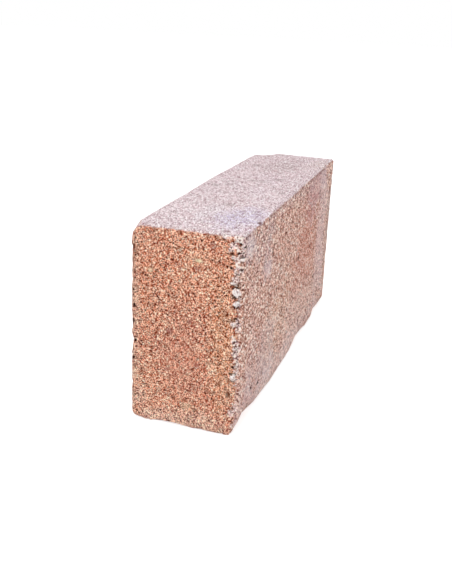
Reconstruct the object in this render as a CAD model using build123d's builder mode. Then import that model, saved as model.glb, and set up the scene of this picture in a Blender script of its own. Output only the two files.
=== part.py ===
# Firebrick: one pressed and fired clay brick, standing on a long edge.
# Frame: +X along the brick, +Y through its thickness, +Z up.
# Origin: the middle of the underside.
# The near end faces -X, the front bed face faces -Y and the back bed face +Y.

import os

from build123d import *

# Overall size of the brick
length = 220.0
thickness = 60.0
height = 110.0

# Radii of the four long arrises, as the mould and later wear left them
top_back_radius = 2.6
bottom_back_radius = 5.0
bottom_front_radius = 2.5
top_front_radius = 2.0

# Radius round the rim of both ends
end_rim_radius = 1.6

# How far a breaking cut runs outside the faces that it breaks
clearance = 2.0

# Spall along the bottom front arris, from the near end.
# Each station is: distance from the near end, reach up the front face, reach under the brick.
near_spall = [
    (-3.0, 6.6, 3.4),
    (7.0, 8.6, 4.2),
    (16.0, 11.4, 5.6),
    (22.0, 12.0, 5.8),
    (28.0, 10.0, 4.6),
    (34.0, 7.8, 3.8),
    (41.0, 5.4, 2.6),
    (48.0, 4.6, 2.2),
    (58.0, 3.8, 1.8),
    (68.0, 2.3, 1.1),
]

# Sliver lost further along the same arris, which ends in a step
middle_sliver = [
    (116.0, 2.3, 1.1),
    (124.0, 3.6, 1.8),
    (134.0, 6.6, 3.2),
    (142.0, 7.6, 3.6),
    (144.0, 5.2, 2.5),
    (156.0, 4.2, 2.0),
    (162.0, 2.4, 1.2),
]

# Wear of the same arris towards the far end.
# Each station is: distance from the far end, reach up the front face, reach under the brick.
far_wear = [
    (-3.0, 3.8, 1.9),
    (10.0, 4.4, 2.1),
    (19.0, 5.2, 2.5),
    (28.0, 6.6, 3.2),
    (36.0, 5.2, 2.5),
    (41.0, 2.2, 1.1),
]

# Crumbling down the near front upright arris, from the underside up.
# Each station is: height, reach across the end, reach along the front face.
near_crumble = [
    (-3.0, 6.4, 4.2),
    (4.0, 5.2, 3.6),
    (9.0, 3.0, 2.8),
    (17.0, 2.2, 3.0),
    (24.0, 3.2, 2.6),
    (33.0, 2.0, 2.2),
    (41.0, 2.8, 2.6),
    (49.0, 2.0, 2.4),
    (56.0, 3.2, 3.0),
    (62.0, 2.4, 2.2),
    (70.0, 3.4, 3.6),
    (75.0, 4.0, 3.2),
    (80.0, 2.4, 2.4),
    (89.0, 3.2, 2.6),
    (98.0, 2.2, 2.2),
    (106.0, 3.0, 2.4),
    (113.0, 2.4, 2.4),
]

# Chip out of the near back upright arris.
# Each station is: height, reach across the end, reach along the back face.
back_notch = [
    (39.0, 0.9, 0.9),
    (43.0, 1.6, 2.4),
    (46.5, 2.2, 3.6),
    (48.0, 1.6, 2.4),
    (50.0, 0.9, 0.9),
]

# Worn top back arris next to the near end.
# Each station is: distance from the near end, reach across the top, reach down the back.
near_top_wear = [
    (-3.0, 6.8, 7.2),
    (3.0, 4.8, 4.8),
    (10.0, 1.8, 1.8),
]

# Worn top back corner at the far end.
# Each station is: distance from the far end, reach across the top, reach down the back.
far_top_wear = [
    (-3.0, 20.0, 4.2),
    (0.0, 17.0, 3.6),
    (5.0, 8.0, 2.8),
    (12.0, 4.4, 2.5),
    (25.0, 3.2, 2.1),
    (60.0, 2.9, 1.9),
    (90.0, 2.0, 1.4),
]

# Shallow flake lost from the top of the far end, next to the back.
# Each station is: distance from the back face, reach down the end, reach along the top.
far_flake = [
    (-3.0, 3.0, 12.0),
    (5.0, 3.0, 13.0),
    (11.0, 2.6, 12.0),
    (15.0, 1.8, 8.0),
    (17.0, 0.9, 2.0),
]

# Lip lost along the bottom of the near end.
# Each station is: distance from the back face, reach up the end, reach under the brick.
end_lip = [
    (12.0, 0.9, 0.9),
    (18.0, 1.7, 2.6),
    (26.0, 1.8, 2.8),
    (36.0, 0.9, 0.9),
]

# Faces of the brick in its own frame
near_x = -length / 2
far_x = length / 2
front_y = -thickness / 2
back_y = thickness / 2


def broken_arris(corner, along, first_face, second_face, stations):
    """Make the wedge that a broken arris has lost.

    corner is where the arris starts, along is its direction, and the two face
    directions run from it into the faces that meet there. Each station gives
    the distance along the arris and the reach of the break on either face.
    """
    with BuildPart() as wedge:
        for distance, first_reach, second_reach in stations:
            plane = Plane(origin=corner + along * distance, x_dir=first_face, z_dir=along)
            side = 1 if plane.y_dir.dot(second_face) > 0 else -1
            slope = second_reach / first_reach
            outer = (-clearance, -side * clearance)
            on_first = (first_reach + clearance / slope, -side * clearance)
            on_second = (-clearance, side * (second_reach + clearance * slope))
            with BuildSketch(plane):
                Polygon(outer, on_first, on_second, align=None)
        loft(ruled=True)
    return wedge.part


# Directions along the arrises and into the faces
to_far = Vector(1, 0, 0)
to_near = Vector(-1, 0, 0)
to_back = Vector(0, 1, 0)
to_front = Vector(0, -1, 0)
up = Vector(0, 0, 1)
down = Vector(0, 0, -1)

near_bottom_front = Vector(near_x, front_y, 0)
far_bottom_front = Vector(far_x, front_y, 0)
near_bottom_back = Vector(near_x, back_y, 0)
near_top_back = Vector(near_x, back_y, height)
far_top_back = Vector(far_x, back_y, height)

losses = [
    broken_arris(near_bottom_front, to_far, up, to_back, near_spall),
    broken_arris(near_bottom_front, to_far, up, to_back, middle_sliver),
    broken_arris(far_bottom_front, to_near, up, to_back, far_wear),
    broken_arris(near_bottom_front, up, to_back, to_far, near_crumble),
    broken_arris(near_bottom_back, up, to_front, to_far, back_notch),
    broken_arris(near_top_back, to_far, to_front, down, near_top_wear),
    broken_arris(far_top_back, to_near, to_front, down, far_top_wear),
    broken_arris(far_top_back, to_front, down, to_near, far_flake),
    broken_arris(near_bottom_back, to_front, up, to_far, end_lip),
]

# Corners of the section: front or back, bottom or top, and the radius of each
front, back = 0, -1
bottom, top = 0, -1
corner_radii = [
    (back, bottom, bottom_back_radius),
    (back, top, top_back_radius),
    (front, bottom, bottom_front_radius),
    (front, top, top_front_radius),
]

with BuildPart() as firebrick:
    # Pressed section, seen from the near end
    with BuildSketch(Plane.YZ.offset(near_x)) as section:
        with Locations((0, height / 2)):
            Rectangle(thickness, height)
        for side, end, radius in corner_radii:
            corners_of_side = section.vertices().group_by(Axis.X)[side].sort_by(Axis.Y)
            fillet(corners_of_side[end], radius)
    extrude(amount=length)

    # Rims of the two ends
    ends = firebrick.faces().filter_by(Axis.X)
    fillet(ends.edges(), end_rim_radius)

    # What has broken or worn off the arrises
    for loss in losses:
        add(loss, mode=Mode.SUBTRACT)

firebrick.part.label = "firebrick"

os.makedirs("parts", exist_ok=True)
export_step(firebrick.part, "parts/firebrick.step")
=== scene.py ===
import logging
import math
from dataclasses import dataclass, field
from enum import Enum

import bpy
import numpy as np
from mathutils import Matrix, Vector


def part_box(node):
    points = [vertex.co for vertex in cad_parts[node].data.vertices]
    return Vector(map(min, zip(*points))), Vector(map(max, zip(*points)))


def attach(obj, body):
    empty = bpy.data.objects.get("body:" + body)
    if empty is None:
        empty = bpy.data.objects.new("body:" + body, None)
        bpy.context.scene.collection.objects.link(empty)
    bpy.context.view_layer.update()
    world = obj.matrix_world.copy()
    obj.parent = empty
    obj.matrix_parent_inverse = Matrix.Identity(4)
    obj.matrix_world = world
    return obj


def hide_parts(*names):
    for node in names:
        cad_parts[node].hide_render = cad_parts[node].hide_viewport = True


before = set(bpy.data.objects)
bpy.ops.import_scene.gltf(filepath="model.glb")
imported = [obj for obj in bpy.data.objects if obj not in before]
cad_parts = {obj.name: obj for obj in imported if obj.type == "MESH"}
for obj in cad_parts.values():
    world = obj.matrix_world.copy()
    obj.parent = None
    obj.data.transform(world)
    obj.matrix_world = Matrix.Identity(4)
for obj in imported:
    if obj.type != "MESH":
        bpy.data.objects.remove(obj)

log = logging.getLogger("firebrick")

MM = 0.001
NODE = "firebrick"
BODY = "root"
BAKE_MAP = "OFBake"

# Whole numbers that scatter the cells of a lattice
WORD = 0xFFFFFFFF
CELL_MIXERS = (73856093, 19349663, 83492791)
SEED_MIXER = 2654435761
WHICH_MIXER = 40503
STIRRER = 0x45D9F3B

# Brings a sum of swells of ever smaller size back to about -1 to 1
RIDGE_SPAN = 1.5

# The middle of what runs from 0 to 1
HALFWAY = 0.5

Colour = tuple[float, float, float, float]
Place = tuple[float, float, float]
Range = tuple[float, float]
Socket = bpy.types.NodeSocket

WHITE: Colour = (1.0, 1.0, 1.0, 1.0)


def srgb(red: int, green: int, blue: int) -> Colour:
    """Turn a screen colour into the linear one that a shader socket takes.

    Args:
        red: red from 0 to 255.
        green: green from 0 to 255.
        blue: blue from 0 to 255.

    Returns:
        The same colour in linear light, with full alpha.
    """
    linear = []
    for part in (red, green, blue):
        share = part / 255
        linear.append(share / 12.92 if share <= 0.04045 else ((share + 0.055) / 1.055) ** 2.4)
    return (*linear, 1.0)


def metres(place: Place) -> Place:
    """Turn millimetres into metres."""
    return tuple(value * MM for value in place)


def smooth_step(values: np.ndarray, low: float, high: float) -> np.ndarray:
    """Ease the values from 0 at low to 1 at high, without a corner at either end."""
    share = np.clip((values - low) / (high - low), 0.0, 1.0)
    return share * share * (3.0 - 2.0 * share)


@dataclass(frozen=True)
class Grid:
    """Random numbers at the corners or in the cells of an endless lattice."""

    seed: int

    def numbers(self, cells: np.ndarray, which: int) -> np.ndarray:
        """Give one repeatable random number from 0 to 1 for each whole cell.

        Args:
            cells: whole cell numbers, one row of three for each point.
            which: picks one of many unrelated numbers for the same cell.

        Returns:
            One number for each row.
        """
        mixed = self.seed * SEED_MIXER + which * WHICH_MIXER
        for axis, mixer in enumerate(CELL_MIXERS):
            mixed = mixed ^ (cells[:, axis].astype(np.int64) & WORD) * mixer
        mixed = mixed & WORD
        for _ in range(2):
            mixed = (mixed ^ (mixed >> 16)) * STIRRER & WORD
        return (mixed ^ (mixed >> 16)) / float(WORD)

    def swell(self, points: np.ndarray, size: float) -> np.ndarray:
        """Sample smooth rolling noise.

        Args:
            points: places in millimetres, one row each.
            size: about how far apart two swells are, in millimetres.

        Returns:
            Values from -1 to 1.
        """
        scaled = points / size
        low = np.floor(scaled)
        share = scaled - low
        share = share * share * (3.0 - 2.0 * share)
        total = np.zeros(len(points))
        for corner in np.ndindex(2, 2, 2):
            step = np.array(corner)
            weight = np.prod(np.where(step == 1, share, 1.0 - share), axis=1)
            total += weight * self.numbers(low + step, 0)
        return total * 2.0 - 1.0

    def ridges(self, points: np.ndarray, size: float, layers: int) -> np.ndarray:
        """Add up swells of ever smaller size.

        Args:
            points: places in millimetres.
            size: size of the largest swells, in millimetres.
            layers: how many sizes are added, each half the one before.

        Returns:
            Values of about -1 to 1.
        """
        total = np.zeros(len(points))
        for layer in range(layers):
            total += Grid(self.seed + layer).swell(points, size / 2**layer) / 2**layer
        return total / RIDGE_SPAN

    def lumps(self, points: np.ndarray, spacing: float) -> tuple[np.ndarray, np.ndarray]:
        """Find the nearest of many scattered grains.

        Args:
            points: places in millimetres.
            spacing: about how far apart the grains are, in millimetres.

        Returns:
            The distance to the nearest grain's middle as a share of the spacing,
            and a random number from 0 to 1 that belongs to that grain.
        """
        scaled = points / spacing
        low = np.floor(scaled)
        nearest = np.full(len(points), np.inf)
        owner = np.zeros(len(points))
        for corner in np.ndindex(3, 3, 3):
            cells = low + (np.array(corner) - 1)
            middles = cells + np.stack([self.numbers(cells, axis + 1) for axis in range(3)], axis=1)
            distance = np.linalg.norm(scaled - middles, axis=1)
            closer = distance < nearest
            nearest = np.where(closer, distance, nearest)
            owner = np.where(closer, self.numbers(cells, 4), owner)
        return nearest, owner

    def warp(self, points: np.ndarray, size: float, reach: float) -> np.ndarray:
        """Push the points about by up to the reach, with swells of the given size."""
        push = [Grid(self.seed + axis).swell(points, size) for axis in range(3)]
        return points + reach * np.stack(push, axis=1)


@dataclass(frozen=True)
class Swells:
    """Rolling unevenness of one kind, with its size in millimetres."""

    size: float
    layers: int
    seed: int

    def at(self, points: np.ndarray) -> np.ndarray:
        """Give its height at each point, from about -1 to 1."""
        return Grid(self.seed).ridges(points, self.size, self.layers)


@dataclass(frozen=True)
class Grains:
    """Rounded grains that stand out of a face, in millimetres.

    Their radius is a share of the spacing. The height runs from the least share of
    the stated one, over the spread.
    """

    spacing: float
    height: float
    seed: int
    radius: float = 0.55
    least: float = 0.4
    spread: float = 1.2

    def relief(self, points: np.ndarray) -> np.ndarray:
        """Give how far each point stands out, in millimetres."""
        distance, owner = Grid(self.seed).lumps(points, self.spacing)
        return self.height * (self.radius - distance) * (self.least + self.spread * owner)


@dataclass(frozen=True)
class Pores:
    """Open holes that are scattered over a face, in millimetres.

    The share says how many cells have one. The radius, how much it may shrink and the
    lip are shares of the spacing, and the least is a share of the depth.
    """

    spacing: float
    share: float
    depth: float
    seed: int
    radius: float = 0.55
    shrink: float = 0.3
    lip: Range = (-0.08, 0.16)
    least: float = 0.5

    def relief(self, points: np.ndarray) -> np.ndarray:
        """Give how deep each point lies in a hole.

        Args:
            points: places in millimetres.

        Returns:
            The depths in millimetres.
        """
        distance, owner = Grid(self.seed).lumps(points, self.spacing)
        size = owner / self.share
        inside = smooth_step(self.radius - self.shrink * size - distance, *self.lip)
        depth = self.depth * (self.least + (1 - self.least) * size)
        return np.where(owner < self.share, depth * inside, 0.0)


@dataclass(frozen=True)
class Feature:
    """One lump or pit that the eye picks out, in millimetres.

    Its height is how far it stands out of the face, and a pit's is negative. The
    fade, gap width and gap slope are shares of its reach.
    """

    middle: Place
    reach: Place
    height: float
    fade: float = 0.55
    gap_width: float = 0.14
    gap_slope: Range = (0.45, 0.85)
    least_away: float = 0.1

    def away(self, points: np.ndarray) -> np.ndarray:
        """Give how far each point is from its middle, as 1 at its edge."""
        return np.linalg.norm((points - np.array(self.middle)) / np.array(self.reach), axis=1)

    def cover(self, points: np.ndarray) -> np.ndarray:
        """Give 1 in its middle and 0 outside it."""
        return smooth_step(1.0 - self.away(points), 0.0, self.fade)

    def gaps(self, points: np.ndarray) -> np.ndarray:
        """Give the open gaps above and below it.

        Args:
            points: places in millimetres.

        Returns:
            How open the gap is at each point, from 0 to 1.
        """
        away = self.away(points)
        span = self.reach[2] * np.maximum(away, self.least_away)
        upright = np.abs(points[:, 2] - self.middle[2]) / span
        return np.exp(-(((away - 1.0) / self.gap_width) ** 2)) * smooth_step(upright, *self.gap_slope)


# Single crumbs of the crust
CRUMBS = (
    Feature((-109.2, -26.6, 81.6), (2.8, 2.4, 2.6), 0.8),
    Feature((-109.2, -25.0, 86.2), (2.0, 1.7, 1.0), 0.4),
    Feature((-109.2, -27.2, 75.2), (2.2, 1.8, 1.7), 0.65),
    Feature((-109.2, -26.0, 64.6), (2.4, 1.7, 1.8), 0.5),
    Feature((-109.2, -27.0, 51.0), (2.0, 1.2, 1.3), 0.35),
    Feature((-109.2, -26.8, 35.0), (2.4, 1.7, 1.8), 0.6),
    Feature((-109.2, -24.6, 99.4), (2.4, 1.6, 1.3), 0.4),
    Feature((-108.8, -29.2, 98.6), (2.4, 1.2, 1.2), 0.5),
    Feature((-108.8, -20.0, 109.2), (1.8, 2.4, 1.4), 0.4),
    Feature((-108.8, -25.4, 109.2), (1.8, 1.6, 1.4), 0.3),
)

# Pits with painted shade inside: on the crust, on the near back arris and on the front bed
PITS = (
    Feature((-109.4, -27.9, 106.3), (2.2, 1.0, 0.9), -0.5),
    Feature((-106.8, -29.8, 105.0), (1.3, 1.2, 0.8), -0.5),
    Feature((-109.4, -27.1, 101.9), (2.2, 0.8, 0.7), -0.5),
    Feature((-109.4, -23.8, 101.4), (2.2, 1.1, 0.7), -0.5),
    Feature((-109.4, -23.7, 94.0), (2.2, 0.9, 0.9), -0.6),
    Feature((-109.0, -29.0, 93.3), (2.2, 0.9, 0.8), -0.5),
    Feature((-109.4, -26.8, 67.5), (2.2, 1.0, 0.7), -0.5),
    Feature((-109.4, -26.4, 41.0), (2.2, 0.9, 0.9), -0.5),
    Feature((-109.6, 28.6, 75.0), (2.0, 0.9, 0.9), -0.5),
    Feature((-109.6, 28.2, 66.2), (2.0, 1.2, 1.1), -0.6),
    Feature((-109.6, 28.8, 57.4), (2.0, 1.0, 1.2), -0.6),
    Feature((-109.6, 27.8, 46.6), (2.0, 1.5, 0.9), -0.7),
    Feature((-109.6, 28.8, 36.0), (2.0, 0.9, 1.0), -0.5),
    Feature((-53.0, -30.0, 86.0), (1.3, 1.6, 2.6), -0.7),
    Feature((-53.0, -30.0, 59.0), (1.3, 1.6, 3.0), -0.7),
    Feature((-26.0, -30.0, 90.6), (1.6, 1.6, 1.2), -0.6),
    Feature((-74.0, -30.0, 74.4), (1.8, 1.6, 1.2), -0.6),
    Feature((14.0, -30.0, 63.0), (2.4, 1.6, 1.2), -0.7),
    Feature((47.0, -30.0, 62.0), (2.4, 1.6, 1.4), -0.6),
    Feature((65.0, -30.0, 34.0), (2.6, 1.6, 1.3), -0.7),
    Feature((-83.0, -30.0, 17.6), (2.4, 1.6, 1.4), -0.8),
    Feature((-70.0, -30.0, 14.0), (2.0, 1.6, 1.1), -0.6),
)

# Shallow dents, shown by the shade of their relief and by the painted shade of recesses, with no painted dark
# of the pits
DENTS = (
    Feature((-79.0, -28.6, 110.0), (3.0, 2.0, 2.0), -0.8),
    Feature((64.0, -9.0, 110.0), (2.4, 1.4, 2.0), -0.5),
    Feature((-110.0, 29.0, 98.0), (2.0, 1.6, 2.2), -0.7),
    Feature((-110.0, -25.0, 24.5), (2.0, 1.6, 3.0), -0.8),
)


@dataclass(frozen=True)
class Crust:
    """Salty crust down the near front upright arris, in millimetres.

    It reaches further across the end towards the top of the brick.
    """

    width_low: float = 4.4
    width_high: float = 8.0
    spread_from: float = 80.0
    spread_to: float = 106.0
    width_front: float = 2.8
    thickest: float = 0.80
    ragged: float = 0.8
    fade: float = 0.5
    edge_swells: Swells = Swells(3.2, 3, 35)
    grains: tuple[Grains, ...] = (Grains(2.4, 0.45, 14), Grains(1.2, 0.35, 15))
    holes: tuple[Pores, ...] = (Pores(1.9, 0.16, 0.6, 26),)

    def cover(self, from_end: np.ndarray, from_front: np.ndarray, points: np.ndarray) -> np.ndarray:
        """Give 1 where the crust is thick and 0 where there is none.

        Args:
            from_end: distance from the near end's plane.
            from_front: distance from the front bed's plane.
            points: the same places.

        Returns:
            The cover for each place.
        """
        spread = smooth_step(points[:, 2], self.spread_from, self.spread_to)
        width = self.width_low + (self.width_high - self.width_low) * spread
        across = np.maximum(from_front / width, from_end / self.width_front)
        ragged = self.ragged * self.edge_swells.at(points)
        return smooth_step(1.0 - across + ragged, 0.0, self.fade)


@dataclass
class BrickSkin:
    """Real relief of every face, worked into a close mesh of the brick.

    Sizes are in millimetres, and each pair is where something begins and is full.
    """

    length: float
    thickness: float
    height: float
    border: Range = (-0.5, 0.7)
    border_ragged: float = 0.8
    border_swells: Swells = Swells(2.6, 2, 34)
    broken_depth: Range = (0.9, 1.8)
    broken_roughness: float = 0.8
    rim_zone: float = 6.0
    rim_fade: float = 3.0
    push_size: float = 1.8
    push_reach: float = 0.55
    push_seed: int = 41
    end_wave: float = 0.20
    end_swells: Swells = Swells(16.0, 3, 31)
    face_wave: float = 0.14
    face_swells: Swells = Swells(34.0, 4, 32)
    end_grains: tuple[Grains, ...] = (Grains(2.2, 0.26, 11), Grains(1.15, 0.30, 12))
    end_pores: tuple[Pores, ...] = (Pores(1.7, 0.28, 0.5, 21), Pores(3.2, 0.12, 0.6, 22))
    face_grains: tuple[Grains, ...] = (Grains(2.0, 0.11, 13),)
    face_pores: tuple[Pores, ...] = (Pores(2.6, 0.07, 0.4, 23), Pores(8.0, 0.05, 0.45, 24))
    arris_pores: Pores = Pores(2.2, 0.26, 0.55, 25)
    gap_depth: float = 0.5
    # Painted shade line along the beds, just under the long arrises
    shade_line_depth: float = 1.1
    shade_line_width: float = 0.6
    shade_line_edge: float = 0.8
    shade_line_breaks: Range = (-0.45, 0.35)
    shade_line_swells: Swells = Swells(5.0, 3, 37)
    long_crumble: float = 0.32
    rim_crumble: float = 0.6
    crumble_reach: float = 2.2
    crumble_spread: float = 0.2
    crumble_swells: Swells = Swells(4.2, 3, 33)
    rim_patches: Range = (0.18, 0.5)
    rim_patch_swells: Swells = Swells(22.0, 2, 36)
    rim_salt: float = 0.8
    arris_salt: float = 0.45
    crumble_shade: float = 0.6
    darkest_depth: float = 0.8
    least_share: float = 0.01
    crust: Crust = Crust()
    crumbs: tuple[Feature, ...] = CRUMBS
    pits: tuple[Feature, ...] = PITS + DENTS

    def depths(self, points: np.ndarray) -> np.ndarray:
        """Measure how far each point lies under the faces.

        Args:
            points: places in millimetres.

        Returns:
            The distances from the ends, the beds and the stretchers, one row each.
        """
        off_end = self.length / 2 - np.abs(points[:, 0])
        off_bed = self.thickness / 2 - np.abs(points[:, 1])
        off_stretcher = np.minimum(points[:, 2], self.height - points[:, 2])
        return np.stack([off_end, off_bed, off_stretcher], axis=1)

    def relief(self, points: np.ndarray) -> dict[str, np.ndarray]:
        """Work out the relief and the masks that the finish reads.

        Args:
            points: the mesh's points in millimetres.

        Returns:
            The offset along the normal, and the masks: end, salt, painted_hollow_shade and
            painted_shade_line.
        """
        depths = self.depths(points)
        order = np.sort(depths, axis=1)
        lead = np.minimum(depths[:, 1], depths[:, 2]) - depths[:, 0]
        end = smooth_step(lead + self.border_ragged * self.border_swells.at(points), *self.border)
        broken = smooth_step(order[:, 0], *self.broken_depth)
        rough = np.maximum(end, self.broken_roughness * broken)
        arris = np.exp(-((order[:, 1] / self.crumble_reach) ** 2))
        at_rim = smooth_step(self.rim_zone - depths[:, 0], 0.0, self.rim_fade)

        warped = Grid(self.push_seed).warp(points, self.push_size, self.push_reach)
        offset = rough * self.end_wave * self.end_swells.at(points)
        offset += (1 - rough) * self.face_wave * self.face_swells.at(points)
        offset += self.on(rough, self.end_grains, warped)
        offset += self.on(1 - rough, self.face_grains, warped)
        holes = self.on(rough, self.end_pores, warped) + self.on(1 - rough, self.face_pores, warped)
        holes += self.on(arris, (self.arris_pores,), warped)
        crumble = (self.long_crumble + (self.rim_crumble - self.long_crumble) * at_rim) * arris
        crumble *= np.clip(self.crumble_swells.at(points) + self.crumble_spread, 0.0, 1.0)

        patchy = smooth_step(self.rim_patch_swells.at(points), *self.rim_patches) * at_rim
        crust = self.crust.cover(self.length / 2 + points[:, 0], self.thickness / 2 + points[:, 1], points)
        crust = np.maximum(crust, self.rim_salt * patchy * arris)
        offset += self.on(crust, self.crust.grains, warped)
        holes += self.on(crust, self.crust.holes, warped)

        salt = self.crust.thickest * crust
        for crumb in self.crumbs:
            cover = crumb.cover(points)
            offset += crumb.height * cover
            salt = np.maximum(salt, cover)
            holes += self.gap_depth * crumb.gaps(points)
        for pit in self.pits:
            holes -= pit.height * pit.cover(warped)
        salt = np.maximum(salt, self.arris_salt * arris * (1 - end))
        return {
            "offset": offset - holes - crumble,
            "end": end,
            "salt": salt * (1 - np.clip(holes, 0.0, 1.0)),
            # Painted shade: pores, pits, crumb gaps and crumbled arrises are darkened by how deep they lie
            "painted_hollow_shade": np.clip((holes + self.crumble_shade * crumble) / self.darkest_depth, 0.0, 1.0),
            # Painted shade: a dark line along the beds just under the long arrises
            "painted_shade_line": self.painted_shade_line(depths, points) * (1 - end) * (1 - broken),
        }

    def painted_shade_line(self, depths: np.ndarray, points: np.ndarray) -> np.ndarray:
        """Give the line of painted shade along the beds, just under their long arrises.

        Args:
            depths: distances from the ends, the beds and the stretchers.
            points: the same places.

        Returns:
            How dark the line is at each place, from 0 to 1.
        """
        line = np.exp(-(((depths[:, 2] - self.shade_line_depth) / self.shade_line_width) ** 2))
        on_bed = smooth_step(depths[:, 2] - depths[:, 1], 0.0, self.shade_line_edge)
        return line * on_bed * smooth_step(self.shade_line_swells.at(points), *self.shade_line_breaks)

    def on(self, share: np.ndarray, layers: tuple, points: np.ndarray) -> np.ndarray:
        """Add up layers of grains or pores, only where they have a share.

        Args:
            share: how much of them shows at each point.
            layers: the grains or pores.
            points: places in millimetres.

        Returns:
            Their summed relief, weighed by the share.
        """
        total = np.zeros(len(points))
        shown = share > self.least_share
        for layer in layers:
            total[shown] += layer.relief(points[shown])
        return total * share


class Side(Enum):
    """The six sides of the brick: the axis that each faces along, and which way."""

    NEAR_END = (0, -1)
    FAR_END = (0, 1)
    FRONT_BED = (1, -1)
    BACK_BED = (1, 1)
    UNDERSIDE = (2, -1)
    TOP = (2, 1)


@dataclass(frozen=True)
class Sheet:
    """The six sides laid out flat, each at its true shape, in a map to bake onto.

    The rows are stacked from the bottom, and the gap between sides is in millimetres.
    """

    gap: float = 3.0
    rows: tuple[tuple[Side, ...], ...] = (
        (Side.FRONT_BED, Side.NEAR_END),
        (Side.BACK_BED, Side.FAR_END),
        (Side.TOP,),
        (Side.UNDERSIDE,),
    )

    def lay(self, mesh: bpy.types.Mesh, low: np.ndarray, high: np.ndarray) -> None:
        """Give the mesh a map in which every side keeps its shape.

        Args:
            mesh: the finished mesh, in metres.
            low: the brick's lowest corner in millimetres.
            high: the brick's highest corner in millimetres.
        """
        points = read(mesh.vertices, "co", 3) / MM
        first = read(mesh.polygons, "loop_start", 1).astype(int)
        corners = read(mesh.polygons, "loop_total", 1).astype(int)
        vertex = read(mesh.loops, "vertex_index", 1).astype(int)
        owner = np.repeat(np.arange(len(first)), corners)
        middles = np.stack([np.bincount(owner, points[vertex, axis]) for axis in range(3)], axis=1)
        middles /= corners[:, None]
        depth = [self.depth(side, middles, low, high) for side in Side]
        nearest = np.argmin(np.stack(depth, axis=1), axis=1)[owner]

        spots = np.zeros((len(vertex), 2))
        top, widest = self.gap, 0.0
        for row in self.rows:
            left, tallest = self.gap, 0.0
            for side in row:
                across, up = [axis for axis in range(3) if axis != side.value[0]]
                mine = nearest == list(Side).index(side)
                spots[mine, 0] = points[vertex[mine], across] - low[across] + left
                spots[mine, 1] = points[vertex[mine], up] - low[up] + top
                left += high[across] - low[across] + self.gap
                tallest = max(tallest, high[up] - low[up])
            widest = max(widest, left)
            top += tallest + self.gap
        spots /= np.array([widest, top])
        layer = mesh.uv_layers.new(name=BAKE_MAP)
        layer.uv.foreach_set("vector", spots.astype(np.float32).ravel())

    @staticmethod
    def depth(side: Side, middles: np.ndarray, low: np.ndarray, high: np.ndarray) -> np.ndarray:
        """Measure how far each middle lies under a side of the box from low to high."""
        axis, way = side.value
        return high[axis] - middles[:, axis] if way > 0 else middles[:, axis] - low[axis]


def read(items: object, name: str, width: int) -> np.ndarray:
    """Read one property of all the vertices, faces or corners of a mesh.

    Args:
        items: the mesh's collection.
        name: the property.
        width: how many numbers it has for each item.

    Returns:
        One row for each item, or a flat array where the width is 1.
    """
    found = np.empty(len(items) * width)
    items.foreach_get(name, found)
    return found.reshape(-1, width) if width > 1 else found


@dataclass
class Brick:
    """The brick itself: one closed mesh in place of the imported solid."""

    fine_step: float = 0.5
    quick_step: float = 1.2
    soften_share: float = 0.5
    soften_rounds: int = 3
    most_triangles: int = 196000
    sheet: Sheet = Sheet()
    low: Vector = field(init=False)
    high: Vector = field(init=False)
    skin: BrickSkin = field(init=False)

    def __post_init__(self) -> None:
        """Take the brick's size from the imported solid."""
        self.low, self.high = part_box(NODE)
        size = (self.high - self.low) / MM
        self.skin = BrickSkin(length=size.x, thickness=size.y, height=size.z)

    def build(self) -> bpy.types.Object:
        """Make the close mesh, work the relief into it and thin it out.

        Returns:
            The finished brick, riding on the body, with the node's own solid hidden.
        """
        piece = bpy.data.objects.new("fired_brick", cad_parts[NODE].data.copy())
        piece.data.materials.clear()
        bpy.context.scene.collection.objects.link(piece)
        self.remesh(piece, self.fine_step)
        self.carve(piece)
        self.thin_out(piece)
        self.sheet.lay(piece.data, np.array(self.low) / MM, np.array(self.high) / MM)
        piece.data.shade_smooth()
        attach(piece, BODY)
        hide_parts(NODE)
        return piece

    def remesh(self, piece: bpy.types.Object, step: float) -> None:
        """Cover the piece with an even net and take the sharpness off its breaks.

        Args:
            piece: the object to cover.
            step: the net's spacing in millimetres.
        """
        net = piece.modifiers.new("net", "REMESH")
        net.mode = "VOXEL"
        net.voxel_size = step * MM
        soften = piece.modifiers.new("soften", "SMOOTH")
        soften.factor = self.soften_share
        soften.iterations = self.soften_rounds
        self.settle(piece)

    def carve(self, piece: bpy.types.Object) -> None:
        """Move the net's points by the relief and keep the masks on them.

        Args:
            piece: the object to work on.
        """
        mesh = piece.data
        points = read(mesh.vertices, "co", 3) / MM
        normals = read(mesh.vertex_normals, "vector", 3)
        worked = self.skin.relief(points)
        points += normals * worked.pop("offset")[:, None]
        points[:, 2] = np.maximum(points[:, 2], self.low.z / MM)
        mesh.vertices.foreach_set("co", (points * MM).ravel())
        for name, values in worked.items():
            mask = mesh.attributes.new(name, "FLOAT", "POINT")
            mask.data.foreach_set("value", values.astype(np.float32))
        mesh.update()

    def thin_out(self, piece: bpy.types.Object) -> None:
        """Bring the net down to the most triangles, where the relief needs them least.

        Args:
            piece: the object to thin out.
        """
        triangles = sum(len(face.vertices) - 2 for face in piece.data.polygons)
        if triangles <= self.most_triangles:
            return
        thinner = piece.modifiers.new("thinner", "DECIMATE")
        thinner.ratio = self.most_triangles / triangles
        self.settle(piece)

    @staticmethod
    def settle(piece: bpy.types.Object) -> None:
        """Apply every modifier of the piece to its mesh.

        Args:
            piece: the object to settle.
        """
        depsgraph = bpy.context.evaluated_depsgraph_get()
        settled = bpy.data.meshes.new_from_object(piece.evaluated_get(depsgraph))
        piece.modifiers.clear()
        old, piece.data = piece.data, settled
        bpy.data.meshes.remove(old)


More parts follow.
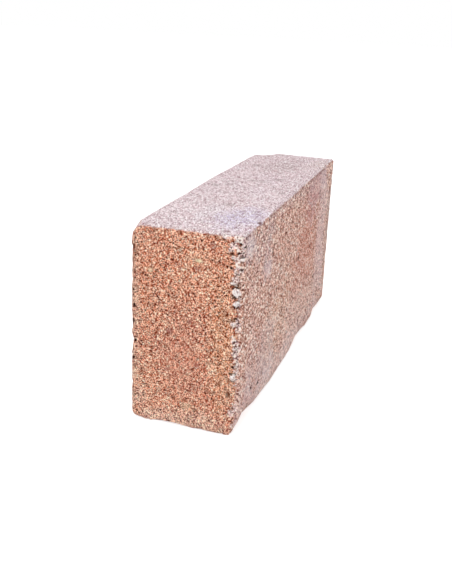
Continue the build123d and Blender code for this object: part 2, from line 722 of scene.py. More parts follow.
class Graph:
    """Short calls that wire up one node tree."""

    def __init__(self, tree: bpy.types.NodeTree) -> None:
        """Keep the tree that the calls work on."""
        self.tree = tree

    def node(self, kind: str, **settings: object) -> bpy.types.Node:
        """Add a node.

        Args:
            kind: the node's type name.
            settings: properties to set on it.

        Returns:
            The new node.
        """
        made = self.tree.nodes.new(kind)
        for name, value in settings.items():
            setattr(made, name, value)
        return made

    def feed(self, socket: Socket, value: object) -> None:
        """Link a socket into another, or set it to a plain value.

        Args:
            socket: the socket that takes it.
            value: a socket, or the plain value.
        """
        if isinstance(value, bpy.types.NodeSocket):
            self.tree.links.new(value, socket)
        else:
            socket.default_value = value

    def math(
        self, operation: str, first: object, second: object = 0.0, third: object = 0.0, clamp: bool = False
    ) -> Socket:
        """Do one sum on numbers.

        Args:
            operation: the Math node's operation.
            first: a socket or a number.
            second: a socket or a number.
            third: a socket or a number, for the sums that take three.
            clamp: whether the result stays from 0 to 1.

        Returns:
            The result.
        """
        made = self.node("ShaderNodeMath", operation=operation, use_clamp=clamp)
        for socket, value in zip(made.inputs, (first, second, third)):
            self.feed(socket, value)
        return made.outputs[0]

    def plus(self, first: object, second: object) -> Socket:
        """Add two numbers."""
        return self.math("ADD", first, second)

    def less(self, first: object, second: object) -> Socket:
        """Take the second number from the first."""
        return self.math("SUBTRACT", first, second)

    def times(self, first: object, second: object) -> Socket:
        """Multiply two numbers."""
        return self.math("MULTIPLY", first, second)

    def vector(self, operation: str, first: object, second: object) -> Socket:
        """Do one sum on vectors.

        Args:
            operation: the Vector Math node's operation.
            first: a socket or three numbers.
            second: a socket or three numbers.

        Returns:
            The resulting vector.
        """
        made = self.node("ShaderNodeVectorMath", operation=operation)
        self.feed(made.inputs[0], first)
        self.feed(made.inputs[1], second)
        return made.outputs[0]

    def rise(self, vector: object) -> Socket:
        """Give how far a vector goes up or down.

        Args:
            vector: the vector's socket.

        Returns:
            The size of its upright part.
        """
        parts = self.node("ShaderNodeSeparateXYZ")
        self.feed(parts.inputs[0], vector)
        return self.math("ABSOLUTE", parts.outputs[2])

    def blend(self, share: object, first: object, second: object) -> Socket:
        """Mix two numbers.

        Args:
            share: how much of the second number shows.
            first: a socket or a number.
            second: a socket or a number.

        Returns:
            The mixed number.
        """
        made = self.node("ShaderNodeMix", data_type="FLOAT")
        self.feed(made.inputs[0], share)
        self.feed(made.inputs[2], first)
        self.feed(made.inputs[3], second)
        return made.outputs[0]

    def between(self, value: object, low: object, high: object) -> Socket:
        """Ease a value from 0 at low to 1 at high.

        Args:
            value: the socket to ease.
            low: where the result is 0.
            high: where the result is 1.

        Returns:
            The eased value.
        """
        made = self.node("ShaderNodeMapRange", interpolation_type="SMOOTHSTEP")
        self.feed(made.inputs["Value"], value)
        self.feed(made.inputs["From Min"], low)
        self.feed(made.inputs["From Max"], high)
        return made.outputs[0]

    def away(self, given: object) -> tuple[Socket, Socket]:
        """Measure how far each point is from a middle, with 1 at the reach.

        Args:
            given: a group's inputs, with Vector, Middle and Reach among them.

        Returns:
            The way from the middle, and its length.
        """
        way = self.vector("SUBTRACT", given["Vector"], given["Middle"])
        way = self.vector("DIVIDE", way, given["Reach"])
        length = self.node("ShaderNodeVectorMath", operation="LENGTH")
        self.feed(length.inputs[0], way)
        return way, length.outputs["Value"]

    def mix(self, share: object, first: object, second: object) -> Socket:
        """Mix two colours.

        Args:
            share: how much of the second colour shows.
            first: the colour below.
            second: the colour above.

        Returns:
            The mixed colour.
        """
        made = self.node("ShaderNodeMix", data_type="RGBA")
        self.feed(made.inputs[0], share)
        self.feed(made.inputs[6], first)
        self.feed(made.inputs[7], second)
        return made.outputs[2]

    def noise(self, vector: object, size: object, detail: float = 2.0) -> Socket:
        """Add rolling noise.

        Args:
            vector: where it is sampled.
            size: the size of its swells in metres, as a socket or a number.
            detail: how many finer layers it has.

        Returns:
            Its value, from 0 to 1.
        """
        made = self.node("ShaderNodeTexNoise")
        self.feed(made.inputs["Vector"], vector)
        self.feed(made.inputs["Scale"], self.over(size))
        made.inputs["Detail"].default_value = detail
        return made.outputs[0]

    def cells(self, vector: object, size: object) -> tuple[Socket, Socket, Socket]:
        """Add scattered grains.

        Args:
            vector: where they are sampled.
            size: their size in metres, as a socket or a number.

        Returns:
            The distance to the nearest grain, and two random numbers of that grain.
        """
        made = self.node("ShaderNodeTexVoronoi")
        self.feed(made.inputs["Vector"], vector)
        self.feed(made.inputs["Scale"], self.over(size))
        parts = self.node("ShaderNodeSeparateColor")
        self.feed(parts.inputs[0], made.outputs["Color"])
        return made.outputs["Distance"], parts.outputs[0], parts.outputs[1]

    def over(self, size: object) -> object:
        """Turn a size into the scale that a texture node takes.

        Args:
            size: a socket or a number, in metres.

        Returns:
            One over the size, as a socket or a number.
        """
        if isinstance(size, bpy.types.NodeSocket):
            return self.math("DIVIDE", 1.0, size)
        return 1.0 / size


class Kind(Enum):
    """The kinds of value that go into and out of a node group."""

    VECTOR = "NodeSocketVector"
    COLOUR = "NodeSocketColor"
    NUMBER = "NodeSocketFloat"


class Effect:
    """A shader node group with named inputs and outputs, made once."""

    title = "Effect"
    inputs: tuple[tuple[str, Kind], ...] = ()
    outputs: tuple[tuple[str, Kind], ...] = ()

    @classmethod
    def group(cls) -> bpy.types.NodeTree:
        """Give the group, and make it the first time.

        Returns:
            The shared node tree.
        """
        found = bpy.data.node_groups.get(cls.title)
        if found:
            return found
        tree = bpy.data.node_groups.new(cls.title, "ShaderNodeTree")
        for name, kind in cls.inputs:
            tree.interface.new_socket(name, in_out="INPUT", socket_type=kind.value)
        for name, kind in cls.outputs:
            tree.interface.new_socket(name, in_out="OUTPUT", socket_type=kind.value)
        graph = Graph(tree)
        given = graph.node("NodeGroupInput").outputs
        result = graph.node("NodeGroupOutput").inputs
        cls.wire(graph, given, result)
        return tree

    @classmethod
    def wire(cls, graph: Graph, given: object, result: object) -> None:
        """Fill the group; each effect has its own way."""
        raise NotImplementedError

    @classmethod
    def place(cls, graph: Graph, **values: object) -> dict[str, Socket]:
        """Put the effect into a material or another group.

        Args:
            graph: where it goes.
            values: its inputs by name, with _ for a space.

        Returns:
            Its outputs by name.
        """
        made = graph.node("ShaderNodeGroup", node_tree=cls.group())
        for name, value in values.items():
            graph.feed(made.inputs[name.replace("_", " ")], value)
        return {socket.name: socket for socket in made.outputs}


class ClayGrain(Effect):
    """Fired clay seen close: salt-and-pepper grains, pinholes and pale chips."""

    title = "Clay grain"
    coarse_share = 0.7
    fine_share = 0.3
    fine_size = 0.5
    full_swing = 2.0
    hole_edge: Range = (0.62, 0.4)
    speck_edge: Range = (0.52, 0.34)
    grain_rise = 0.9
    grain_rounding = 0.5
    hole_drop = 0.8
    inputs = (
        ("Vector", Kind.VECTOR),
        ("Ground", Kind.COLOUR),
        ("Dark grain", Kind.COLOUR),
        ("Pale grain", Kind.COLOUR),
        ("Pinhole", Kind.COLOUR),
        ("Chip", Kind.COLOUR),
        ("Grain size", Kind.NUMBER),
        ("Speck size", Kind.NUMBER),
        ("Contrast", Kind.NUMBER),
        ("Pinhole share", Kind.NUMBER),
        ("Chip share", Kind.NUMBER),
        ("Dark chip share", Kind.NUMBER),
    )
    outputs = (("Color", Kind.COLOUR), ("Height", Kind.NUMBER), ("Tone", Kind.NUMBER))

    @classmethod
    def wire(cls, graph: Graph, given: object, result: object) -> None:
        """Lay the grains over the ground.

        Args:
            graph: the group's nodes.
            given: the group's inputs.
            result: the group's outputs.
        """
        place = given["Vector"]
        size = given["Grain size"]
        distance, coarse, chance = graph.cells(place, size)
        fine_distance, fine, fine_chance = graph.cells(place, graph.times(size, cls.fine_size))
        tone = graph.plus(graph.times(coarse, cls.coarse_share), graph.times(fine, cls.fine_share))
        swing = graph.times(graph.less(tone, HALFWAY), given["Contrast"])
        dark = graph.math("MULTIPLY", swing, -cls.full_swing, clamp=True)
        pale = graph.math("MULTIPLY", swing, cls.full_swing, clamp=True)
        darkest = graph.mix(chance, given["Dark grain"], given["Pinhole"])
        palest = graph.mix(chance, given["Pale grain"], given["Chip"])
        colour = graph.mix(pale, graph.mix(dark, given["Ground"], darkest), palest)
        hole = graph.math("LESS_THAN", fine_chance, given["Pinhole share"])
        pinhole = graph.times(hole, graph.between(fine_distance, *cls.hole_edge))
        colour = graph.mix(pinhole, colour, given["Pinhole"])
        speck_distance, _, pick = graph.cells(place, given["Speck size"])
        rounded = graph.between(speck_distance, *cls.speck_edge)
        rare = graph.math("LESS_THAN", pick, given["Dark chip share"])
        colour = graph.mix(graph.times(rare, rounded), colour, given["Pinhole"])
        rare = graph.math("GREATER_THAN", pick, graph.less(1.0, given["Chip share"]))
        colour = graph.mix(graph.times(rare, rounded), colour, given["Chip"])
        graph.feed(result["Color"], colour)
        rise = graph.times(tone, cls.grain_rise)
        bulge = graph.less(rise, graph.times(distance, cls.grain_rounding))
        graph.feed(result["Height"], graph.less(bulge, graph.times(pinhole, cls.hole_drop)))
        graph.feed(result["Tone"], tone)


class SoftPatch(Effect):
    """One stain or bloom with a ragged, fading edge."""

    title = "Soft patch"
    ragged_size = 6 * MM
    ragged_detail = 4.0
    wander_size = 17 * MM
    fade: Range = (1.2, 0.35)
    inputs = (
        ("Vector", Kind.VECTOR),
        ("Middle", Kind.VECTOR),
        ("Reach", Kind.VECTOR),
        ("Ragged", Kind.NUMBER),
        ("Wander", Kind.NUMBER),
    )
    outputs = (("Mask", Kind.NUMBER),)

    @classmethod
    def wire(cls, graph: Graph, given: object, result: object) -> None:
        """Fade out from the middle, further on some sides than on others.

        Args:
            graph: the group's nodes.
            given: the group's inputs.
            result: the group's outputs.
        """
        _, length = graph.away(given)
        ragged = graph.noise(given["Vector"], cls.ragged_size, cls.ragged_detail)
        swell = graph.less(ragged, HALFWAY)
        edge = graph.plus(length, graph.times(swell, given["Ragged"]))
        drift = graph.less(graph.noise(given["Vector"], cls.wander_size), HALFWAY)
        edge = graph.plus(edge, graph.times(drift, given["Wander"]))
        graph.feed(result["Mask"], graph.between(edge, *cls.fade))


class Crumb(Effect):
    """One hard crumb with a ragged edge, and the thin gap above and below it that takes painted shade."""

    title = "Crumb"
    ragged_size = 1.1 * MM
    ragged_reach = 2.0
    body_edge: Range = (1.0, 0.7)
    gap_inner: Range = (0.92, 1.04)
    gap_outer: Range = (1.46, 1.28)
    gap_slope: Range = (0.5, 0.75)
    inputs = (
        ("Vector", Kind.VECTOR),
        ("Middle", Kind.VECTOR),
        ("Reach", Kind.VECTOR),
    )
    outputs = (("Body", Kind.NUMBER), ("Gap", Kind.NUMBER))

    @classmethod
    def wire(cls, graph: Graph, given: object, result: object) -> None:
        """Measure how far each point is from the crumb's middle.

        Args:
            graph: the group's nodes.
            given: the group's inputs.
            result: the group's outputs.
        """
        way, length = graph.away(given)
        swell = graph.less(graph.noise(given["Vector"], cls.ragged_size), HALFWAY)
        edge = graph.math("MULTIPLY_ADD", swell, cls.ragged_reach, length)
        graph.feed(result["Body"], graph.between(edge, *cls.body_edge))
        steep = graph.math("DIVIDE", graph.rise(way), length)
        band = graph.times(graph.between(edge, *cls.gap_inner), graph.between(edge, *cls.gap_outer))
        graph.feed(result["Gap"], graph.times(band, graph.between(steep, *cls.gap_slope)))


class SaltFilm(Effect):
    """Thin pale film of salts that firing leaves on a clay face."""

    title = "Salt film"
    cloud_detail = 4.0
    fleck_size = 1.1 * MM
    cloud_share = 0.5
    fleck_share = 0.5
    bare_level = 0.72
    amount_reach = 0.5
    edge_width = 0.16
    inputs = (
        ("Vector", Kind.VECTOR),
        ("Amount", Kind.NUMBER),
        ("Cloud size", Kind.NUMBER),
    )
    outputs = (("Mask", Kind.NUMBER),)

    @classmethod
    def wire(cls, graph: Graph, given: object, result: object) -> None:
        """Break the film up into clouds and flecks.

        Args:
            graph: the group's nodes.
            given: the group's inputs.
            result: the group's outputs.
        """
        clouds = graph.noise(given["Vector"], given["Cloud size"], cls.cloud_detail)
        flecks = graph.noise(given["Vector"], cls.fleck_size)
        depth = graph.plus(graph.times(clouds, cls.cloud_share), graph.times(flecks, cls.fleck_share))
        low = graph.less(cls.bare_level, graph.times(given["Amount"], cls.amount_reach))
        graph.feed(result["Mask"], graph.between(depth, low, graph.plus(low, cls.edge_width)))


@dataclass(frozen=True)
class Patch:
    """One stain or bloom on a face, in millimetres, and how strongly it shows."""

    middle: Place
    reach: Place
    colour: Colour
    strength: float = 0.8
    ragged: float = 1.0
    wander: float = 0.0

    def lay(self, graph: Graph, place: Socket, ground: object) -> Socket:
        """Lay the patch over a colour.

        Args:
            graph: the material's nodes.
            place: where each point of the surface is.
            ground: the colour below.

        Returns:
            The colour with the patch on it.
        """
        mask = SoftPatch.place(
            graph,
            Vector=place,
            Middle=metres(self.middle),
            Reach=metres(self.reach),
            Ragged=self.ragged,
            Wander=self.wander,
        )["Mask"]
        return graph.mix(graph.times(mask, self.strength), ground, self.colour)


@dataclass(frozen=True)
class Bloom(Patch):
    """A patch on a pressed bed, whose edge wanders further."""

    ragged: float = 1.6
    wander: float = 2.0


@dataclass(frozen=True)
class ClayLook:
    """How one kind of face looks.

    Its ground has a second colour in broad clouds and a third in small ones. Patches
    lie under the grains and stains over them, and drag stretches grains lengthwise.
    """

    ground: Colour
    second: Colour
    third: Colour
    dark_grain: Colour
    pale_grain: Colour
    pinhole: Colour
    chip: Colour
    grain_size: float
    contrast: float
    pinhole_share: float
    chip_share: float
    dark_chip_share: float = 0.03
    speck_size: float = 1.2 * MM
    drag: float = 1.0
    broad_size: float = 44 * MM
    broad_detail: float = 3.0
    broad_edge: Range = (0.46, 0.62)
    small_size: float = 19 * MM
    small_detail: float = 4.0
    small_edge: Range = (0.50, 0.68)
    patches: tuple[Patch, ...] = ()
    stains: tuple[Patch, ...] = ()

    def place(self, graph: Graph, place: Socket, warped: Socket) -> dict[str, Socket]:
        """Put this face's clay into a material.

        Args:
            graph: the material's nodes.
            place: where each point of the surface is.
            warped: the same, pushed about so that grains lose their round shape.

        Returns:
            The face's colour, height and tone.
        """
        broad = graph.noise(place, self.broad_size, self.broad_detail)
        broad = graph.between(broad, *self.broad_edge)
        small = graph.noise(place, self.small_size, self.small_detail)
        small = graph.between(small, *self.small_edge)
        ground = graph.mix(small, graph.mix(broad, self.ground, self.second), self.third)
        for patch in self.patches:
            ground = patch.lay(graph, place, ground)
        dragged = graph.vector("DIVIDE", warped, (self.drag, 1.0, 1.0))
        clay = ClayGrain.place(
            graph,
            Vector=dragged,
            Ground=ground,
            Dark_grain=self.dark_grain,
            Pale_grain=self.pale_grain,
            Pinhole=self.pinhole,
            Chip=self.chip,
            Grain_size=self.grain_size,
            Speck_size=self.speck_size,
            Contrast=self.contrast,
            Pinhole_share=self.pinhole_share,
            Chip_share=self.chip_share,
            Dark_chip_share=self.dark_chip_share,
        )
        for stain in self.stains:
            clay["Color"] = stain.lay(graph, place, clay["Color"])
        return clay


MAROON = srgb(142, 82, 80)
CREAM = srgb(246, 232, 196)


@dataclass(frozen=True)
class FiredClay:
    """The brick's one finish: open ends, pressed beds and pale stretchers."""

    end: ClayLook = ClayLook(
        ground=srgb(244, 130, 86),
        second=srgb(240, 124, 94),
        third=srgb(238, 130, 96),
        dark_grain=srgb(128, 18, 2),
        pale_grain=srgb(255, 190, 156),
        pinhole=srgb(58, 6, 0),
        chip=srgb(255, 236, 210),
        grain_size=0.42 * MM,
        contrast=3.4,
        pinhole_share=0.06,
        chip_share=0.10,
        dark_chip_share=0.09,
        speck_size=1.15 * MM,
        patches=(
            Patch((-110, 1, 60), (14, 20, 22), srgb(224, 120, 92), 0.7),
            Patch((-110, 12, 24), (14, 18, 20), srgb(230, 132, 94), 0.6),
            Patch((-110, -20, 50), (14, 8, 40), srgb(234, 148, 92), 0.8),
            Patch((-110, 28, 60), (8, 4, 56), srgb(246, 196, 176), 0.8),
            Patch((-110, 14, 45), (8, 6, 6), srgb(208, 100, 80), 0.8),
            Patch((-110, -5, 25), (8, 7, 7), srgb(208, 100, 80), 0.8),
            Patch((-110, -4, 55), (8, 9, 8), srgb(218, 108, 82), 0.7),
            Patch((-110, -25, 25), (8, 5, 7), srgb(255, 188, 152), 0.7),
            Patch((-110, 25, 14), (8, 5, 7), srgb(255, 216, 200), 0.8),
            Patch((-110, -5, 95), (8, 6, 4), srgb(255, 190, 152), 0.6),
            Patch((-110, 2, 2), (14, 36, 10), srgb(246, 202, 190), 0.95),
        ),
        stains=(
            Patch((-110, 8.5, 55), (6, 2.6, 2.0), MAROON, 0.65, 1.2),
            Patch((-110, -6, 91), (6, 1.9, 1.4), MAROON, 0.55, 1.2),
            Patch((-110, 3.0, 90), (6, 1.5, 1.3), MAROON, 0.6, 1.2),
            Patch((-110, -7.5, 38), (6, 2.2, 1.8), MAROON, 0.5, 1.2),
            Patch((-110, -3, 62), (6, 1.6, 1.5), MAROON, 0.6, 1.2),
            Patch((-110, 9, 33), (6, 1.8, 1.6), MAROON, 0.5, 1.2),
            Patch((-110, -14, 104), (6, 2.0, 2.0), MAROON, 0.5, 1.2),
            Patch((-110, -6.8, 95.2), (6, 2.4, 1.1), CREAM, 1.0, 0.8),
            Patch((-110, 19, 86.6), (6, 1.6, 1.6), CREAM, 0.6, 0.9),
            Patch((-110, -3, 13), (6, 5, 3), CREAM, 0.22, 1.6),
            Patch((-110, 2, 40), (8, 14, 22), srgb(206, 130, 112), 0.2),
        ),
    )
    bed: ClayLook = ClayLook(
        ground=srgb(222, 162, 144),
        second=srgb(218, 150, 132),
        third=srgb(222, 170, 162),
        dark_grain=srgb(128, 58, 40),
        pale_grain=srgb(255, 216, 194),
        pinhole=srgb(88, 36, 24),
        chip=srgb(255, 242, 232),
        grain_size=0.54 * MM,
        contrast=2.0,
        pinhole_share=0.05,
        chip_share=0.13,
        dark_chip_share=0.10,
        speck_size=1.35 * MM,
        drag=1.5,
        patches=(
            Bloom((-100, -30, 104), (14, 8, 13), srgb(224, 200, 206), 0.95),
            Bloom((-104, -30, 70), (10, 8, 26), srgb(208, 146, 124), 0.85),
            Bloom((-108, -30, 16), (9, 8, 22), srgb(220, 182, 176), 0.8),
            Bloom((-70, -30, 98), (22, 8, 14), srgb(214, 178, 178), 0.7),
            Bloom((-30, -30, 34), (34, 8, 34), srgb(236, 184, 156), 0.8),
            Bloom((40, -30, 68), (46, 8, 44), srgb(216, 126, 104), 0.9),
            Bloom((10, -30, 108), (60, 8, 8), srgb(200, 156, 160), 0.7),
            Bloom((24, -30, 22), (80, 8, 22), srgb(246, 202, 190), 0.9),
            Bloom((82, -30, 66), (21, 8, 74), srgb(246, 212, 214), 0.85),
            Bloom((107, -30, 66), (8, 8, 34), srgb(186, 160, 158), 0.9),
        ),
        stains=(
            Bloom((-63, -30, 88), (9, 8, 26), srgb(212, 194, 202), 0.22),
            Bloom((-62, -30, 80), (6, 8, 5), srgb(238, 222, 230), 0.28),
            Bloom((-101, -30, 103), (12, 8, 12), srgb(222, 208, 216), 0.28),
            Bloom((44, -30, 66), (44, 8, 44), srgb(200, 134, 116), 0.2),
            Bloom((82, -30, 62), (16, 8, 60), srgb(226, 202, 204), 0.2),
            Bloom((104, -30, 58), (9, 8, 36), srgb(160, 124, 116), 0.2),
            Bloom((58, -30, 98), (36, 8, 20), srgb(194, 172, 188), 0.27),
            Bloom((-66, -30, 28), (32, 8, 20), srgb(214, 200, 206), 0.22),
            Bloom((-86, -30, 12), (30, 8, 16), srgb(214, 192, 196), 0.3),
            Bloom((-10, -30, 5), (110, 8, 14), srgb(232, 216, 218), 0.3),
        ),
    )
    stretcher: ClayLook = ClayLook(
        ground=srgb(248, 220, 226),
        second=srgb(246, 214, 221),
        third=srgb(247, 220, 230),
        dark_grain=srgb(172, 136, 142),
        pale_grain=srgb(255, 248, 250),
        pinhole=srgb(140, 104, 108),
        chip=srgb(255, 252, 252),
        grain_size=0.42 * MM,
        contrast=2.8,
        pinhole_share=0.03,
        chip_share=0.02,
        drag=1.5,
        patches=(
            # The next two patches are a painted highlight: the pale bluish sheen on the top near the near end
            Patch((-74, 1, 110), (26, 8, 8), srgb(255, 244, 252), 0.8, 1.4),
            Patch((-76, -17, 110), (28, 15, 10), srgb(218, 208, 246), 0.95),
            Patch((66, -4, 110), (30, 14, 10), srgb(204, 170, 172), 0.95),
            Patch((84, -25, 110), (20, 9, 10), srgb(252, 226, 220), 0.9),
            Patch((-109, 0, 110), (4, 34, 4), srgb(244, 214, 208), 0.7),
        ),
    )
    salted: ClayLook = ClayLook(
        ground=srgb(255, 228, 226),
        second=srgb(252, 214, 210),
        third=srgb(255, 232, 236),
        dark_grain=srgb(176, 116, 110),
        pale_grain=srgb(255, 236, 222),
        pinhole=srgb(60, 26, 18),
        chip=srgb(255, 246, 238),
        grain_size=0.8 * MM,
        contrast=2.4,
        pinhole_share=0.08,
        chip_share=0.06,
        dark_chip_share=0.07,
    )
    white: Colour = srgb(255, 248, 246)
    # Painted shade in the gaps beside the crumbs and inside the pits
    gap: Colour = srgb(44, 16, 12)
    # Painted shade along the beds, just under the long arrises
    painted_shade_line: Colour = srgb(112, 72, 64)
    # Painted shade in pores, pits, crumb gaps and crumbled arrises
    painted_hollow_shade: Colour = srgb(92, 40, 24)
    gap_shade_strength: float = 0.92
    shade_line_strength: float = 0.7
    hollow_shade_strength: float = 0.8
    crumb_show: float = 1.4
    crumb_speckle: float = 1.2
    crumb_least: float = 0.2
    salt_cloud: float = 6 * MM
    push_size: float = 0.9 * MM
    push_reach: float = 0.4 * MM
    upward: Range = (0.5, 0.85)
    shine: float = 0.1
    roughness: float = 0.82
    roughness_swing: float = 0.14
    bump_strength: float = 0.9
    grain_bump: float = 0.30 * MM
    face_bump: float = 0.7

    def material(self) -> bpy.types.Material:
        """Make the material.

        Returns:
            The finished material.
        """
        made = bpy.data.materials.new("fired_clay")
        made.use_nodes = True
        graph = Graph(made.node_tree)
        shader = made.node_tree.nodes["Principled BSDF"]
        place = graph.node("ShaderNodeTexCoord").outputs["Object"]
        warped = self.warp(graph, place)
        looks = (self.end, self.bed, self.stretcher, self.salted)
        end, bed, stretcher, salted = (look.place(graph, place, warped) for look in looks)
        on_end = self.mask(graph, "end")
        on_stretcher = self.facing_up(graph)
        clay = graph.mix(on_stretcher, bed["Color"], stretcher["Color"])
        clay = graph.mix(on_end, clay, end["Color"])
        graph.feed(shader.inputs["Base Color"], self.weathered_and_shaded(graph, clay, salted, place, warped))
        tone = graph.blend(on_end, bed["Tone"], end["Tone"])
        rough = graph.math("MULTIPLY_ADD", tone, self.roughness_swing, self.roughness)
        graph.feed(shader.inputs["Roughness"], rough)
        shader.inputs["Specular IOR Level"].default_value = self.shine
        face_height = graph.blend(on_stretcher, bed["Height"], stretcher["Height"])
        height = graph.blend(on_end, graph.times(face_height, self.face_bump), end["Height"])
        bump = graph.node("ShaderNodeBump")
        bump.inputs["Strength"].default_value = self.bump_strength
        bump.inputs["Distance"].default_value = self.grain_bump
        graph.feed(bump.inputs["Height"], height)
        graph.feed(shader.inputs["Normal"], bump.outputs[0])
        return made

    def weathered_and_shaded(
        self, graph: Graph, clay: Socket, salted: dict[str, Socket], place: Socket, warped: Socket
    ) -> Socket:
        """Lay the salt, the painted shade line, the painted shade in hollows, gaps and pits, and the crumbs
        over the clay.

        Args:
            graph: the material's nodes.
            clay: the colour of the bare clay.
            salted: the salt's colour and tone.
            place: where each point of the surface is.
            warped: the same, pushed about.

        Returns:
            The brick's colour.
        """
        salt = SaltFilm.place(
            graph, Vector=place, Amount=self.mask(graph, "salt"), Cloud_size=self.salt_cloud
        )["Mask"]
        colour = graph.mix(salt, clay, salted["Color"])
        # Painted shade: a dark line along the beds under the long arrises
        colour = graph.mix(graph.times(self.mask(graph, "painted_shade_line"), self.shade_line_strength), colour, self.painted_shade_line)
        # Painted shade: pores, pits, crumb gaps and crumbled arrises darkened by how deep they lie
        shade = graph.times(self.mask(graph, "painted_hollow_shade"), self.hollow_shade_strength)
        colour = graph.mix(shade, colour, self.painted_hollow_shade)
        body, gap = self.crumbs(graph, warped)
        # Painted shade: the gaps beside the crumbs and the pits are darkened
        colour = graph.mix(graph.times(gap, self.gap_shade_strength), colour, self.gap)
        speckled = graph.math("MULTIPLY_ADD", salted["Tone"], self.crumb_speckle, self.crumb_least)
        return graph.mix(graph.math("MULTIPLY", body, speckled, clamp=True), colour, self.white)

    def crumbs(self, graph: Graph, place: Socket) -> tuple[Socket, Socket]:
        """Pick out the crust's single crumbs, and the open gaps beside them.

        Args:
            graph: the material's nodes.
            place: where each point of the surface is.

        Returns:
            A mask of the crumbs and a mask of the painted shade in the gaps and pits.
        """
        body: object = 0.0
        gap: object = 0.0
        for feature in CRUMBS + PITS:
            spot = {"Middle": metres(feature.middle), "Reach": metres(feature.reach)}
            found = Crumb.place(graph, Vector=place, **spot)
            if feature.height > 0:
                shown = min(1.0, self.crumb_show * feature.height)
                body = graph.math("MAXIMUM", body, graph.times(found["Body"], shown))
                gap = graph.math("MAXIMUM", gap, graph.times(found["Gap"], shown))
            else:
                gap = graph.math("MAXIMUM", gap, found["Body"])
        return body, gap

    def warp(self, graph: Graph, place: Socket) -> Socket:
        """Push the places about, so that grains lose their round shape.

        Args:
            graph: the material's nodes.
            place: where each point of the surface is.

        Returns:
            The pushed places.
        """
        swell = graph.node("ShaderNodeTexNoise")
        graph.feed(swell.inputs["Vector"], place)
        swell.inputs["Scale"].default_value = graph.over(self.push_size)
        push = graph.vector("MULTIPLY", swell.outputs["Color"], (self.push_reach,) * 3)
        return graph.vector("ADD", place, push)

    @staticmethod
    def mask(graph: Graph, name: str) -> Socket:
        """Read a mask that the mesh carries."""
        return graph.node("ShaderNodeAttribute", attribute_name=name).outputs["Fac"]

    def facing_up(self, graph: Graph) -> Socket:
        """Give 1 on the top and underside and 0 on the beds."""
        normal = graph.node("ShaderNodeNewGeometry").outputs["Normal"]
        return graph.between(graph.rise(normal), *self.upward)


@dataclass(frozen=True)
class Lamp:
    """One soft box, aimed at the brick's middle."""

    name: str
    place: Place
    side: float
    watts: float


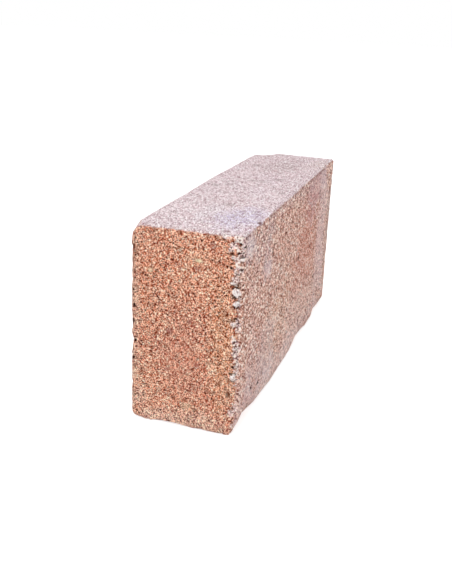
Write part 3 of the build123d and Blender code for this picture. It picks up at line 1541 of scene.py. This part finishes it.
@dataclass
class Studio:
    """Pale floor, white surroundings and soft lamps."""

    middle: Vector
    ambient: float = 0.60
    floor_side: float = 8.0
    floor_glow: float = 0.55
    floor_colour: Colour = srgb(238, 238, 238)
    floor_roughness: float = 0.9
    lamps: tuple[Lamp, ...] = (
        Lamp("top_box", (-0.35, 0.25, 1.15), 0.9, 5.4),
        Lamp("end_box", (-1.1, 0.2, 0.55), 0.8, 4.0),
        Lamp("side_box", (-0.2, -1.1, 0.5), 0.8, 3.0),
    )

    def build(self) -> None:
        """Set up the world, the floor and the lamps."""
        self.surround()
        self.lay_floor()
        for lamp in self.lamps:
            self.hang(lamp)

    def surround(self) -> None:
        """Light evenly from all round, and show plain white to the camera."""
        world = bpy.data.worlds.new("studio")
        bpy.context.scene.world = world
        world.use_nodes = True
        graph = Graph(world.node_tree)
        sky = world.node_tree.nodes["Background"]
        sky.inputs["Color"].default_value = WHITE
        graph.feed(sky.inputs["Strength"], graph.blend(self.seen(graph), self.ambient, 1.0))

    def lay_floor(self) -> None:
        """Lay a wide pale floor under the brick."""
        half = self.floor_side / 2
        mesh = bpy.data.meshes.new("floor")
        corners = [(-half, -half, 0), (half, -half, 0), (half, half, 0), (-half, half, 0)]
        mesh.from_pydata(corners, [], [(0, 1, 2, 3)])
        floor = bpy.data.objects.new("floor", mesh)
        bpy.context.scene.collection.objects.link(floor)
        made = bpy.data.materials.new("floor")
        made.use_nodes = True
        graph = Graph(made.node_tree)
        shader = made.node_tree.nodes["Principled BSDF"]
        shader.inputs["Base Color"].default_value = self.floor_colour
        shader.inputs["Roughness"].default_value = self.floor_roughness
        shader.inputs["Specular IOR Level"].default_value = 0.0
        shader.inputs["Emission Color"].default_value = WHITE
        glow = graph.times(self.seen(graph), self.floor_glow)
        graph.feed(shader.inputs["Emission Strength"], glow)
        mesh.materials.append(made)

    @staticmethod
    def seen(graph: Graph) -> Socket:
        """Tell the camera's own look from the light that falls on things.

        Args:
            graph: the nodes of a world or a material.

        Returns:
            1 where the camera, a mirror or clear glass looks, and 0 elsewhere.
        """
        path = graph.node("ShaderNodeLightPath").outputs
        mirrored = graph.math("MAXIMUM", path["Is Glossy Ray"], path["Is Transmission Ray"])
        return graph.math("MAXIMUM", path["Is Camera Ray"], mirrored)

    def hang(self, lamp: Lamp) -> None:
        """Hang one soft box and aim it.

        Args:
            lamp: the box to hang.
        """
        light = bpy.data.lights.new(lamp.name, "AREA")
        light.size = lamp.side
        light.energy = lamp.watts
        made = bpy.data.objects.new(lamp.name, light)
        made.location = Vector(lamp.place)
        made.rotation_euler = (self.middle - Vector(lamp.place)).to_track_quat("-Z", "Y").to_euler()
        bpy.context.scene.collection.objects.link(made)


@dataclass(frozen=True)
class Viewpoint:
    """The photograph's camera, worked out from the brick's own edges.

    Its place and the nearest that it sees are in metres, its angles are in degrees and
    its lens is in millimetres.
    The centre is where the lens looks in the picture, in pixels from the top left.
    """

    place: Place = (-0.4566, -0.1320, 0.2185)
    heading: float = 71.13
    dip: float = 19.80
    roll: float = 2.03
    lens: float = 48.50
    centre_x: float = 210.8
    centre_y: float = 279.1
    frame_width: int = 452
    frame_height: int = 584
    nearest: float = 0.01

    def build(self) -> None:
        """Set up the camera and make it the scene's."""
        heading, dip, roll = (math.radians(angle) for angle in (self.heading, self.dip, self.roll))
        ahead = Vector((math.sin(heading) * math.cos(dip), math.cos(heading) * math.cos(dip), -math.sin(dip)))
        level = ahead.cross(Vector((0, 0, 1))).normalized()
        upright = level.cross(ahead)
        right = level * math.cos(roll) + upright * math.sin(roll)
        up = right.cross(ahead)
        data = bpy.data.cameras.new("camera")
        data.lens = self.lens
        long_side = max(self.frame_width, self.frame_height)
        data.shift_x = (self.frame_width / 2 - self.centre_x) / long_side
        data.shift_y = -(self.frame_height / 2 - self.centre_y) / long_side
        data.clip_start = self.nearest
        camera = bpy.data.objects.new("camera", data)
        turned = Matrix((right, up, -ahead)).transposed().to_4x4()
        camera.matrix_world = Matrix.Translation(Vector(self.place)) @ turned
        bpy.context.scene.collection.objects.link(camera)
        bpy.context.scene.camera = camera


def main() -> None:
    """Build the brick, its finish and the studio, and report each piece."""
    logging.basicConfig(level=logging.INFO, format="%(message)s")
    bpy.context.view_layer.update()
    brick = Brick()
    piece = brick.build()
    piece.data.materials.append(FiredClay().material())
    log.info("%s: %d faces", piece.name, len(piece.data.polygons))
    studio = Studio(middle=(brick.low + brick.high) / 2)
    studio.build()
    log.info("studio: a floor and %d lamps", len(studio.lamps))
    Viewpoint().build()
    bpy.context.scene.view_settings.view_transform = "Standard"


if __name__ == "__main__":
    main()
